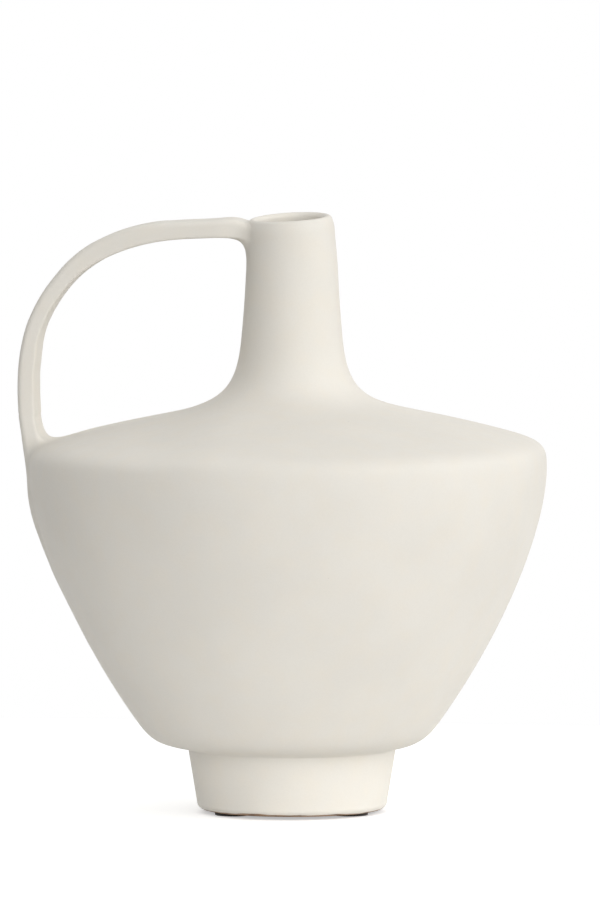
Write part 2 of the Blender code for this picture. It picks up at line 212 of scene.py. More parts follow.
# How far the clay is worked together round the strap, and the heights or sideways places where one reach turns into
# the next
BLEND_UNDER_STRAP = 0.0190
BLEND_BESIDE_STRAP = 0.0020
BLEND_OVER_STRAP = 0.0015
BLEND_AT_SHOULDER = 0.0190
BLEND_AT_TAIL = 0.0130
TAIL_TO_SHOULDER = (0.195, 0.220)
SHOULDER_TO_ROOT = (0.280, 0.310)
UNDER_TO_OVER = (0.3415, 0.3470)
UNDER_TO_BESIDE = (-0.005, 0.005)

# The worked clay's thin edge: how far out it ends, as a share of the reach, and how proud it lies; then the shares of
# the reach and the depths in the wall over which its shading becomes the body's
SKIRT_SHARE = 0.97
SKIRT_LIFT = 0.00005
SKIRT_SHADE = (0.55, 0.92)
SKIRT_SHADE_DEPTH = (-0.0006, -0.0001)

# The strap's root inside the neck, and the space and cells in which strap and body are joined
ROOT_DEPTH = 0.0025
MOUTH_CLEARANCE = 0.0245
STRAP_GRAIN = 0.0010
ROOT_STEPS = 12
ROOT_TAPER = 0.0030
ROOT_TAPER_START = 0.0450
ROOT_TAPER_LENGTH = 0.0200
RIBBON_HALF_WIDTH = 0.045
TIP_SLACK = 0.0003
SURFACE_PASSES = 2
STRAP_SPACE = ((AXIS_X - 0.1640, -0.0340, CLAY_BASE + 0.0950), (AXIS_X - 0.0190, 0.0340, CLAY_BASE + 0.3540))

# The coat's wavy lower edge: how high, how soft, and its waves as (count round the foot, size, start in radians)
COAT_EDGE_HEIGHT = 0.0012
COAT_EDGE_SOFTNESS = 0.0008
COAT_EDGE_WAVES = ((3, 0.00030, 0.4), (7, 0.00022, 1.9), (13, 0.00015, 0.7), (29, 0.00010, 2.6))
COAT_THICKNESS = 0.00025
UNDERSIDE_INSET = 0.00675

# Pads
PAD_COUNT = 3
PAD_RINGS = 6
PAD_EDGE_ROUND = 0.0004
PAD_EDGE_TURNS = range(-75, 1, 15)
PAD_SIDE_STEPS = 3
PAD_TOP_SHARE = 0.97
PAD_UNEVENNESS = 0.0004
PAD_WAVE_LENGTH = 0.006

# Finishes: linear colours, and heights of the surface's grain in metres. Each surface has the size of its clouds, the
# size of its grain and the spacing of its pits. A range is the stretch of a noise that is spread over tones or shares.
COAT_COLOUR = (0.76, 0.73, 0.668)
WARM_COLOUR = (0.78, 0.725, 0.63)
WARM_RANGE = (0.35, 0.75)
WARM_SHARE = 0.35
FINE_SURFACE = (0.06, 0.0011, 0.016)
BROAD_SURFACE = (0.014, 0.004, 0.03)
BARE_SURFACE = (0.008, 0.0009, 0.005)
FELT_SURFACE = (0.003, 0.0004, 0.0015)
NOISE_RANGE = (0.3, 0.7)
GRAIN_RANGE = (0.35, 0.65)
CLOUD_TONES = (0.982, 1.012)
GRAIN_TONES = (0.993, 1.005)
PIT_TONE = 0.80
PIT_RARITY = 6.0
COAT_ROUGHNESS = (0.56, 0.68)
COAT_SHINE = 0.25
LINE_STRETCH = (0.06, 0.06, 1.0)
LINE_SPACING = 0.004
PIT_SHARE = 0.045
GRAIN_HEIGHT = 0.000012
RIPPLE_HEIGHT = 0.00002
DENT_HEIGHT = 0.00012
LINE_HEIGHT = 0.00002
PIT_DEPTH = 0.00012
BARE_GRAIN_HEIGHT = 0.00015
BARE_DARKEST = 0.55
BARE_LIGHTEST = 1.25
BARE_PIT_TONE = 0.5
BARE_ROUGHNESS = (0.82, 0.95)
FRAY = 0.35
FRAY_RANGE = (0.42, 0.58)
FELT_HEIGHT = 0.00020
FELT_LIGHTEST = 2.4
FIBRE_RANGE = (0.35, 0.7)
FELT_CLOUD_RANGE = (0.2, 0.8)
FIBRE_SHARES = (0.3, 1.0)
FELT_ROUGHNESS = (0.9, 1.0)
FELT_SHEEN = 0.3
FELT_SHINE = 0.2

# Stage
LOOK_AT = Vector((0.0097, 0.00074, 0.2139))
CAMERA_AZIMUTH = 8.5
CAMERA_ELEVATION = 4.8
CAMERA_DISTANCE = 15.0
VIEW_HEIGHT = 0.530
SENSOR = 36.0
# Soft lights of the dome: degrees round from the front, degrees up and strength; how narrow each one is
DOME_LIGHTS = (
    (-30.0, 8.0, 0.5),
    (0.0, 8.0, 2.9),
    (30.0, 8.0, 1.1),
    (60.0, 8.0, 1.8),
    (90.0, 8.0, 0.9),
    (120.0, 8.0, 2.2),
    (150.0, 8.0, 0.7),
    (-135.0, 40.0, 1.9),
    (0.0, 90.0, 0.75),
    (60.0, -25.0, 0.5),
)
DOME_NARROWNESS = 6.0
TABLE_GLOW = 0.45
TABLE_HALF_SIZE = 0.55
WINDOW_PLACE = (73.5, 30.0, 1.8)
WINDOW_SIZE = 1.4


def direction(angle):
    """Unit (radius, height) vector at an angle above straight outwards, in radians."""
    return Vector((math.cos(angle), math.sin(angle)))


def curve(start, start_angle, end, end_angle, pull, steps):
    """Cubic curve between two (radius, height) points with a heading at each end."""
    chord = (end - start).length
    after = start + direction(start_angle) * chord * pull[0]
    before = end - direction(end_angle) * chord * pull[1]
    points = []
    for step in range(steps + 1):
        t = step / steps
        s = 1 - t
        points.append(start * s**3 + after * 3 * s * s * t + before * 3 * s * t * t + end * t**3)
    return points


def straight(start, end, steps):
    return [start.lerp(end, step / steps) for step in range(steps + 1)]


def smooth_share(share):
    """0 to 1 with level ends."""
    share = min(max(share, 0.0), 1.0)
    return share * share * (3 - 2 * share)


def heading(points, index):
    """Unit vector along a line of points, at one of them."""
    return (points[min(index + 1, len(points) - 1)] - points[max(index - 1, 0)]).normalized()


def outward(along):
    """Unit normal on the outer side of a line that runs upwards."""
    return Vector((along.y, -along.x))


def turned_line(belly_radius, rim_height):
    """The outer line of the clay from the centre of its underside to the lip, and the joints along it."""
    foot_start = Vector((FOOT_BOTTOM_RADIUS, FOOT_EDGE_ROUND))
    foot_top = Vector((FOOT_TOP_RADIUS, FOOT_HEIGHT))
    hip = foot_top + Vector((HIP_OUTSET, HIP_RISE))
    belly = Vector((belly_radius, BELLY_HEIGHT))
    shoulder = belly + Vector((-SHOULDER_EDGE_INSET, SHOULDER_EDGE_RISE))
    neck_root = Vector((NECK_RADIUS, BELLY_HEIGHT + NECK_RISE))
    lip_round = RIM_WALL / 2
    lip_centre = Vector((RIM_RADIUS - lip_round, rim_height - lip_round))
    lip_start = math.radians(LIP_START_DEG)
    lip_side = lip_centre + direction(lip_start) * lip_round
    rim_seam = Vector((RIM_SEAM_RADIUS, rim_height - RIM_COIL_HEIGHT))
    seam_share = (BASE_THICKNESS - FOOT_EDGE_ROUND) / (FOOT_HEIGHT - FOOT_EDGE_ROUND)
    base_seam = foot_start.lerp(foot_top, seam_share)
    underside_way = math.radians(UNDERSIDE_SLOPE_DEG)
    hip_way = math.radians(90 - HIP_FLARE_DEG)
    upright_way = math.radians(90)
    shoulder_way = math.radians(180 - SHOULDER_SLOPE_DEG)
    neck_way = math.radians(90 + NECK_LEAN_DEG)
    rim_way = math.radians(90 + RIM_LEAN_DEG)

    edge_centre = Vector((FOOT_BOTTOM_RADIUS - FOOT_EDGE_ROUND, FOOT_EDGE_ROUND))
    line = straight(Vector((0, 0)), Vector((edge_centre.x, 0)), FLOOR_STEPS)[:-1]
    for step in range(FOOT_EDGE_STEPS):
        turn = math.pi / 2 * (step / FOOT_EDGE_STEPS - 1)
        line.append(edge_centre + direction(turn) * FOOT_EDGE_ROUND)
    line += straight(foot_start, base_seam, BASE_SIDE_STEPS)
    joints = {"base": len(line) - 1}
    side_way = (foot_top - base_seam).normalized()
    crease_start = foot_top - side_way * CREASE_ROUND
    crease_end = foot_top + direction(underside_way) * CREASE_ROUND
    line += straight(base_seam, crease_start, FOOT_STEPS)[1:]
    for step in range(1, CREASE_STEPS + 1):
        t = step / CREASE_STEPS
        line.append(crease_start * (1 - t) ** 2 + foot_top * 2 * t * (1 - t) + crease_end * t * t)
        if step == CREASE_STEPS // 2:
            joints["foot"] = len(line) - 1
    underside = curve(foot_top, underside_way, hip, hip_way, UNDERSIDE_PULL_SHARES, UNDERSIDE_STEPS)
    line += [point for point in underside if (point - foot_top).length > CREASE_REACH]
    line += curve(hip, hip_way, belly, upright_way, BOWL_PULL_SHARES, BOWL_STEPS)[1:]
    joints["belly"] = len(line) - 1
    line += curve(belly, upright_way, shoulder, shoulder_way, EDGE_PULL_SHARES, EDGE_STEPS)[1:]
    joints["neck"] = len(line) - 1 + SLOPE_STEPS_TO_NECK_SEAM
    line += curve(shoulder, shoulder_way, neck_root, neck_way, SLOPE_PULL_SHARES, SLOPE_STEPS)[1:]
    line += curve(neck_root, neck_way, rim_seam, rim_way, NECK_PULL_SHARES, NECK_STEPS)[1:]
    joints["rim"] = len(line) - 1
    line += curve(rim_seam, rim_way, lip_side, lip_start + math.radians(90), RIM_PULL_SHARES, RIM_STEPS)[1:]
    joints["lip"] = len(line) - 1
    for step in range(1, LIP_STEPS + 1):
        turn = lip_start + (math.pi - lip_start) * step / LIP_STEPS
        line.append(lip_centre + direction(turn) * lip_round)
    return line, joints


def wall_at(height, rim_height):
    """The wall thins from the belly to the rim."""
    share = (height - BELLY_HEIGHT) / (rim_height - BELLY_HEIGHT)
    return BODY_WALL + (RIM_WALL - BODY_WALL) * smooth_share(share)


def inside_line(line, first, last, rim_height):
    """The inner line of the wall between two joints, from the top down."""
    inside = []
    for i in range(first, last + 1):
        wall = wall_at(line[i].y, rim_height)
        point = line[i] - outward(heading(line, i)) * wall
        at_joint = i in (first, last)
        if at_joint or (i - first) % INSIDE_STRIDE == 0 and clear_of(point, line, wall * LEAST_WALL_SHARE):
            inside.append(point)
    return inside[::-1]


def clear_of(point, line, distance):
    """True where a point is at least so far from every stretch of a line."""
    for start, end in zip(line, line[1:]):
        run = end - start
        share = min(max((point - start).dot(run) / run.length_squared, 0.0), 1.0)
        if (point - start - run * share).length < distance:
            return False
    return True


# ---- node tools


class Value:
    """What a socket carries. Reckoning with it puts a node into the socket's tree."""

    def __init__(self, socket):
        self.socket, self.tree = socket, socket.id_data

    def __add__(self, other):
        return calc("ADD", self, other)

    def __sub__(self, other):
        return calc("SUBTRACT", self, other)

    def __rsub__(self, other):
        return calc("SUBTRACT", other, self)

    def __mul__(self, other):
        return calc("MULTIPLY", self, other)

    def __truediv__(self, other):
        return calc("DIVIDE", self, other)

    def __rtruediv__(self, other):
        return calc("DIVIDE", other, self)

    def __neg__(self):
        return calc("MULTIPLY", self, -1.0)


def feed(node, inputs):
    """Joins each input of a node to a value, or gives it a number."""
    for name, given in inputs.items():
        if isinstance(given, Value):
            node.id_data.links.new(given.socket, node.inputs[name])
        else:
            node.inputs[name].default_value = given


def put(tree, kind, inputs=(), **settings):
    """A new node with its settings and inputs."""
    node = tree.nodes.new(kind)
    for name, setting in settings.items():
        setattr(node, name, setting)
    feed(node, dict(inputs))
    return node


def got(tree, kind, inputs=(), output=0, **settings):
    """What one output of a new node carries."""
    return Value(put(tree, kind, inputs, **settings).outputs[output])


def carried(node):
    """What each output of a node carries, by name."""
    return {socket.name: Value(socket) for socket in node.outputs}


def grouped(tree, group, inputs):
    """What a node group puts out in a tree, by name."""
    return carried(put(tree, tree.bl_idname.replace("Tree", "Group"), inputs, node_tree=group))


def calc(operation, *values):
    """A sum of numbers or of vectors, in the tree that the first value belongs to."""
    given = next(value for value in values if isinstance(value, Value))
    kind = "ShaderNodeVectorMath" if given.socket.type == "VECTOR" else "ShaderNodeMath"
    output = "Value" if operation in ("DOT_PRODUCT", "LENGTH") else 0
    return got(given.tree, kind, enumerate(values), output, operation=operation)


def whole(operation, *values):
    """A sum of whole numbers."""
    return got(values[0].tree, "FunctionNodeIntegerMath", enumerate(values), operation=operation)


def scaled(vector, scale):
    return got(vector.tree, "ShaderNodeVectorMath", {0: vector, "Scale": scale}, operation="SCALE")


def joined(x, y, z):
    return got(x.tree, "ShaderNodeCombineXYZ", {"X": x, "Y": y, "Z": z})


def parts(vector):
    """x, y and z of a vector."""
    return carried(put(vector.tree, "ShaderNodeSeparateXYZ", {0: vector})).values()


def eased(value, limits, first=0.0, last=1.0):
    """A value that goes smoothly from first to last between two limits."""
    inputs = {"Value": value, "From Min": limits[0], "From Max": limits[1], "To Min": first, "To Max": last}
    return got(value.tree, "ShaderNodeMapRange", inputs, interpolation_type="SMOOTHSTEP")


def mixed(share, first, last, kind="FLOAT"):
    """First where the share is 0 and last where it is 1."""
    one, other, output = MIX_SOCKETS[kind]
    return got(share.tree, "ShaderNodeMix", {0: share, one: first, other: last}, output, data_type=kind)


def noise(place, size, detail):
    """Soft noise with waves of about that size."""
    return got(place.tree, "ShaderNodeTexNoise", {"Vector": place, "Scale": 1.0 / size, "Detail": detail})


def stored(geometry, name, value, kind, domain="POINT"):
    """The geometry with a value kept on it by name."""
    inputs = {"Geometry": geometry, "Name": name, "Value": value}
    return got(geometry.tree, "GeometryNodeStoreNamedAttribute", inputs, data_type=kind, domain=domain)


def node_tree(kind, name, inputs, outputs):
    """A node tree with named inputs and outputs, and what its inputs carry."""
    tree = bpy.data.node_groups.new(name, kind)
    for label, socket_type, value in inputs:
        socket = tree.interface.new_socket(label, in_out="INPUT", socket_type="NodeSocket" + socket_type)
        if value is not None:
            socket.default_value = value
    for label, socket_type in outputs:
        tree.interface.new_socket(label, in_out="OUTPUT", socket_type="NodeSocket" + socket_type)
    return tree, carried(put(tree, "NodeGroupInput"))


def finish_tree(geometry, finish):
    """Smooth shading, real geometry and the piece's material end every geometry tree."""
    tree = geometry.tree
    smooth = got(tree, "GeometryNodeSetShadeSmooth", {"Geometry": geometry})
    real = got(tree, "GeometryNodeRealizeInstances", {"Geometry": smooth})
    clothed = got(tree, "GeometryNodeSetMaterial", {"Geometry": real, "Material": finish})
    put(tree, "NodeGroupOutput", {"Geometry": clothed})


def made(name, host, tree, values):
    """The plain mesh object that a tree makes of a host mesh; the host is used up."""
    maker = bpy.data.objects.new(name + "_maker", host)
    bpy.context.scene.collection.objects.link(maker)
    modifier = maker.modifiers.new(tree.name, "NODES")
    modifier.node_group = tree
    for item in tree.interface.items_tree:
        if item.item_type == "SOCKET" and item.in_out == "INPUT" and item.name in values:
            modifier[item.identifier] = values[item.name]
    bpy.context.view_layer.update()
    shaped = maker.evaluated_get(bpy.context.evaluated_depsgraph_get())
    mesh = bpy.data.meshes.new_from_object(shaped)
    mesh.name = name
    maker.modifiers.remove(modifier)
    bpy.data.objects.remove(maker, do_unlink=True)
    if not mesh.polygons:
        raise RuntimeError(f"nothing was made for {name}")
    piece = bpy.data.objects.new(name, mesh)
    bpy.context.scene.collection.objects.link(piece)
    return piece


def line_mesh(name, points):
    """A host mesh: a line of (radius, height) points in the XZ plane."""
    mesh = bpy.data.meshes.new(name)
    mesh.from_pydata([(point.x, 0, point.y) for point in points], [(i, i + 1) for i in range(len(points) - 1)], [])
    return mesh


def settle(piece, slot, *nodes):
    """The piece rides on the one body and stands for its nodes. The slot is not used."""
    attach(piece, "root")
    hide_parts(*nodes)


# ---- turned clay


def worked_by_hand(place, sizes):
    """Small faults of a hand-made pot, as an offset at each place on it."""
    x, y, z = parts(place)
    level = joined(x, y, 0.0)

    belly = eased(z, FOOT_TO_BELLY) * eased(z, SHOULDER_TO_NECK, 1, 0)
    lean = -(belly * sizes["Belly lean"])
    off_belly = (1.0 - belly) * sizes["Foot and neck offset"]

    left = calc("MULTIPLY_ADD", eased(x, DROOP_OUTER, 1, 0), DROOP_OUTER_SHARE, eased(x, DROOP_INNER, 1, 0))
    over = eased(z, DROOP_BELOW) * eased(z, DROOP_ABOVE, 1, 0)
    droop = left * over * sizes["Shoulder droop"]

    high_side = tuple(Vector((*direction(math.radians(RIM_HIGH_SIDE_DEG)), 0.0)))
    below_high = RIM_RADIUS - calc("DOT_PRODUCT", place, high_side)
    at_rim = eased(z, NECK_TO_RIM) * eased(calc("LENGTH", level), RIM_REACH, 1, 0)
    slope = below_high * calc("TANGENT", sizes["Rim tilt"])
    end_share = x / RIM_RADIUS
    sag = end_share * end_share * sizes["Rim sag"]
    tilt = (slope + sag + RIM_DROP) * at_rim
    shift = -(eased(z, BENT_NECK) * sizes["Rim shift"])

    waves = noise(place, sizes["Wave length"], 1.0)
    dents = scaled(calc("NORMALIZE", level), -(waves * sizes["Waviness"]))
    return joined(lean + shift + off_belly, 0.0, -(droop + tilt)) + dents


def turned_clay_tree():
    """Turns a line of (radius, height) points about an upright axis, then works it by hand."""
    tree, sizes = node_tree(
        "GeometryNodeTree",
        "Turned clay",
        (
            ("Outline", "Geometry", None),
            ("Turns", "Int", TURNS),
            ("Foot of axis", "Vector", (AXIS_X, 0.0, CLAY_BASE)),
            *((label, "Float", 0.0) for label in HAND_FAULTS),
            ("Wave length", "Float", WAVE_LENGTH),
            ("Finish", "Material", None),
        ),
        (("Geometry", "Geometry"),),
    )
    outline = sizes["Outline"]
    rings = got(tree, "GeometryNodeAttributeDomainSize", {"Geometry": outline}, "Point Count")
    columns = whole("ADD", sizes["Turns"], 1)
    grid = got(tree, "GeometryNodeMeshGrid", {"Vertices X": columns, "Vertices Y": rings}, "Mesh")
    index = got(tree, "GeometryNodeInputIndex")
    sample = {
        "Geometry": outline,
        "Value": got(tree, "GeometryNodeInputPosition"),
        "Index": whole("MODULO", index, rings),
    }
    on_line = got(tree, "GeometryNodeSampleIndex", sample, data_type="FLOAT_VECTOR", domain="POINT")
    angle = whole("DIVIDE_FLOOR", index, rings) * math.tau / sizes["Turns"]
    place = got(tree, "ShaderNodeVectorRotate", {"Vector": on_line, "Angle": angle}, rotation_type="Z_AXIS")
    moved = place + worked_by_hand(place, sizes) + sizes["Foot of axis"]
    form = got(tree, "GeometryNodeSetPosition", {"Geometry": grid, "Position": moved})
    form = stored(form, "strip", whole("MODULO", index, whole("SUBTRACT", rings, 1)), "INT", "FACE")
    form = got(tree, "GeometryNodeMergeByDistance", {"Geometry": form, "Distance": MERGE_DISTANCE})
    finish_tree(form, sizes["Finish"])
    return tree


def strips_of(mesh):
    return [item.value for item in mesh.attributes["strip"].data]


def place_key(co):
    """Two corners of neighbouring pieces that lie on one another share this key."""
    return tuple(round(value * 1e6) for value in co)


def shade_over_joints(pieces):
    """Shading that runs on over the joints, as if the clay were one. Each piece comes with its joint strips."""
    sums = {}
    for piece, joint_strips in pieces:
        mesh = piece.data
        at_joint = {}
        strips = strips_of(mesh)
        for face in mesh.polygons:
            if strips[face.index] in joint_strips:
                face.use_smooth = False
                for corner in face.vertices:
                    at_joint[corner] = place_key(mesh.vertices[corner].co)
        for face in mesh.polygons:
            if strips[face.index] not in joint_strips:
                for corner in face.vertices:
                    if corner in at_joint:
                        key = at_joint[corner]
                        sums[key] = sums.get(key, Vector()) + face.normal * face.area
    for piece, joint_strips in pieces:
        mesh = piece.data
        strips = strips_of(mesh)
        normals = [(0.0, 0.0, 0.0)] * len(mesh.loops)
        for face in mesh.polygons:
            if strips[face.index] in joint_strips:
                continue
            for loop in face.loop_indices:
                key = place_key(mesh.vertices[mesh.loops[loop].vertex_index].co)
                if key in sums:
                    normals[loop] = sums[key].normalized()
        mesh.normals_split_custom_set(normals)
        mesh.attributes.remove(mesh.attributes["strip"])


def mark_coat_edge(base):
    """Marks where the base is coated, and sets the bare clay back by the thickness of the coat."""
    coated = base.data.attributes.new("coated", "FLOAT", "POINT")
    for corner in base.data.vertices:
        x, y, height = corner.co.x - AXIS_X, corner.co.y, corner.co.z - CLAY_BASE
        turn = math.atan2(y, x)
        waves = sum(size * math.sin(count * turn + start) for count, size, start in COAT_EDGE_WAVES)
        cover = (height - COAT_EDGE_HEIGHT - waves) / COAT_EDGE_SOFTNESS + 0.5
        cover = min(max(cover, 0.0), 1.0)
        radius = math.hypot(x, y)
        if height > BASE_THICKNESS - MERGE_DISTANCE or radius < FOOT_BOTTOM_RADIUS - UNDERSIDE_INSET:
            cover = float(height > FOOT_EDGE_ROUND)
        elif cover < 1.0:
            inwards = COAT_THICKNESS * (1 - smooth_share(cover)) / radius
            corner.co.x -= x * inwards
            corner.co.y -= y * inwards
        coated.data[corner.index].value = cover


# ---- strap


def through(points, steps):
    """A smooth line through points."""
    line = []
    for i in range(len(points) - 1):
        before, start = points[max(i - 1, 0)], points[i]
        end, after = points[i + 1], points[min(i + 2, len(points) - 1)]
        for step in range(steps):
            t = step / steps
            pull = (end - before) * t + (before * 2 - start * 5 + end * 4 - after) * t * t
            line.append(start + (pull + (start * 3 - before - end * 3 + after) * t**3) / 2)
    return line + [points[-1]]


def radius_at(line, height):
    """Radius of the belly's outer line at a height."""
    for start, end in zip(line, line[1:]):
        if start.y <= height <= end.y:
            return start.lerp(end, (height - start.y) / (end.y - start.y)).x
    raise ValueError("the line doesn't reach that height")


def strayed(stations):
    """The strap's stations with the small strays of a strap that was pulled and bent by hand."""
    moved, length = [], 0.0
    strays = through([Vector(stray) for stray in STRAP_STRAYS], STRAY_STEPS)
    centres = [centre for centre, _ in stations]
    for i, (centre, thickness) in enumerate(stations):
        length += (centre - centres[max(i - 1, 0)]).length
        for start, end in zip(strays, strays[1:]):
            if start.x <= length < end.x:
                _, outer, inner = start.lerp(end, (length - start.x) / (end.x - start.x))
        along = heading(centres, i)
        outwards = Vector((-along.y, along.x))
        moved.append((centre + outwards * (outer - inner) / 2, thickness + outer + inner))
    return moved


def strap_stations(belly_radius, rim_height, belly_line, belly_lean):
    """Centre points of the strap from the neck down to its tail, each with its thickness and width."""
    reach = belly_radius + HANDLE_STANDOFF
    top = rim_height - HANDLE_DROP
    bend_height = top - BELLY_HEIGHT - HANDLE_UPRIGHT_RISE
    power = 2 / HANDLE_BEND_POWER
    root = Vector((RIM_RADIUS - RIM_WALL, top))
    bend_start = Vector((reach - HANDLE_BEND_WIDTH, top))
    stations = [(point, HANDLE_THICKNESS) for point in straight(root, bend_start, ROOT_STEPS)[:-1]]
    for step in range(HANDLE_BEND_STEPS + 1):
        turn = math.pi / 2 * (1 - step / HANDLE_BEND_STEPS)
        across = math.cos(turn) ** power if step else 0.0
        up = math.sin(turn) ** power if step < HANDLE_BEND_STEPS else 0.0
        centre = Vector((reach - HANDLE_BEND_WIDTH * (1 - across), top - bend_height * (1 - up)))
        thickness = HANDLE_THICKNESS + (HANDLE_BEND_THICKNESS - HANDLE_THICKNESS) * math.sin(2 * turn)
        stations.append((centre, thickness))
    bend_end = stations[-1][0] + Vector((HANDLE_THICKNESS / 2, 0))
    side = [bend_end] + [Vector(point) for point in HANDLE_SIDE_LINE]
    for height, proud in TAIL_PROUD:
        side.append(Vector((radius_at(belly_line, height) + belly_lean + proud, height)))
    outer = through(side, TAIL_STEPS)
    for i in range(1, len(outer)):
        along = heading(outer, i)
        stations.append((outer[i] - Vector((-along.y, along.x)) * HANDLE_THICKNESS / 2, HANDLE_THICKNESS))
    stations = strayed(stations)
    widths = []
    for centre, _ in stations:
        at_tail = smooth_share((HANDLE_SIDE_LINE[1][1] - centre.y) / (HANDLE_SIDE_LINE[1][1] - TAIL_PROUD[-1][0]))
        at_root = smooth_share((ROOT_TAPER_START - centre.x) / ROOT_TAPER_LENGTH)
        widths.append(HANDLE_WIDTH + (TAIL_WIDTH - HANDLE_WIDTH) * at_tail - ROOT_TAPER * at_root)
    return stations, widths


def strap_host(stations, widths):
    """The strap's path on the handle's side, with its half sizes at each point."""
    points = [(AXIS_X - centre.x, 0, CLAY_BASE + centre.y) for centre, _ in stations]
    mesh = bpy.data.meshes.new("strap_path")
    mesh.from_pydata(points, [(i, i + 1) for i in range(len(points) - 1)], [])
    half_thickness = mesh.attributes.new("half_thickness", "FLOAT", "POINT")
    half_width = mesh.attributes.new("half_width", "FLOAT", "POINT")
    half_thickness.data.foreach_set("value", [thickness / 2 for _, thickness in stations])
    half_width.data.foreach_set("value", [width / 2 for width in widths])
    return mesh


def near(surface, place, name, kind="FLOAT"):
    """A named value of a surface at its nearest point to a place."""
    value = got(place.tree, "GeometryNodeInputNamedAttribute", {"Name": name}, data_type=kind)
    inputs = {"Mesh": surface, "Value": value, "Sample Position": place}
    return got(place.tree, "GeometryNodeSampleNearestSurface", inputs, data_type=kind)


def nearest_point(surface, place):
    inputs = {"Geometry": surface, "Sample Position": place}
    return got(place.tree, "GeometryNodeProximity", inputs, "Position", target_element="FACES")


def joined_clay_tree():
    """How far a place is from strap and body worked together; less than nothing inside the clay."""
    tree, given = node_tree(
        "GeometryNodeTree",
        "Strap and body worked together",
        (("Ribbon", "Geometry", None), ("Skin", "Geometry", None), ("Place", "Vector", None)),
        (("Clay", "Float"), ("Skirt", "Float"), ("Depth", "Float"), ("Body Normal", "Vector")),
    )
    ribbon, skin, place = given["Ribbon"], given["Skin"], given["Place"]
    x, y, z = parts(place)
    height = z - CLAY_BASE

    body_normal = near(skin, place, "lean", "FLOAT_VECTOR")
    to_body = place - nearest_point(skin, place)
    body = calc("LENGTH", to_body) * calc("SIGN", calc("DOT_PRODUCT", to_body, body_normal))

    half_thickness = near(ribbon, place, "half_thickness")
    to_ribbon = place - nearest_point(ribbon, place)
    across = calc("DOT_PRODUCT", to_ribbon, near(ribbon, place, "lean", "FLOAT_VECTOR"))
    is_outer = calc("GREATER_THAN", across, 0.0)
    corner = calc("MULTIPLY_ADD", is_outer, HANDLE_OUTER_ROUND - HANDLE_INNER_ROUND, HANDLE_INNER_ROUND)
    beside = calc("ABSOLUTE", y) - near(ribbon, place, "half_width")
    past_face = calc("ABSOLUTE", across) - half_thickness + corner
    past_side = beside + corner
    outside = joined(calc("MAXIMUM", past_face, 0.0), calc("MAXIMUM", past_side, 0.0), 0.0)
    inside = calc("MINIMUM", calc("MAXIMUM", past_face, past_side), 0.0)
    section = calc("LENGTH", outside) + inside - corner
    reach = calc("LENGTH", to_ribbon)
    past_tip = calc("SQRT", calc("MAXIMUM", reach * reach - across * across, 0.0))
    past_tip = calc("MAXIMUM", past_tip - TIP_SLACK, 0.0)
    around = calc("LENGTH", joined(calc("MAXIMUM", section, 0.0), past_tip, 0.0))
    strap = around + calc("MINIMUM", section, 0.0)

    low_blend = eased(height, TAIL_TO_SHOULDER, BLEND_AT_TAIL, BLEND_AT_SHOULDER)
    at_neck = eased(beside, UNDER_TO_BESIDE, BLEND_UNDER_STRAP, BLEND_BESIDE_STRAP)
    at_neck = mixed(eased(height, UNDER_TO_OVER), at_neck, BLEND_OVER_STRAP)
    blend = mixed(eased(height, SHOULDER_TO_ROOT), low_blend, at_neck)
    worked = calc("SMOOTH_MIN", body, strap, blend)

    above_root = calc("MULTIPLY_ADD", body, -1.0, -ROOT_DEPTH)
    in_skirt = strap - blend * SKIRT_SHARE
    past_mouth = MOUTH_CLEARANCE - calc("LENGTH", joined(x - AXIS_X, y, 0.0))
    clay = calc("MAXIMUM", calc("MAXIMUM", worked - SKIRT_LIFT, above_root), calc("MAXIMUM", in_skirt, past_mouth))
    put(tree, "NodeGroupOutput", {"Clay": clay, "Skirt": strap / blend, "Depth": body, "Body Normal": body_normal})
    return tree


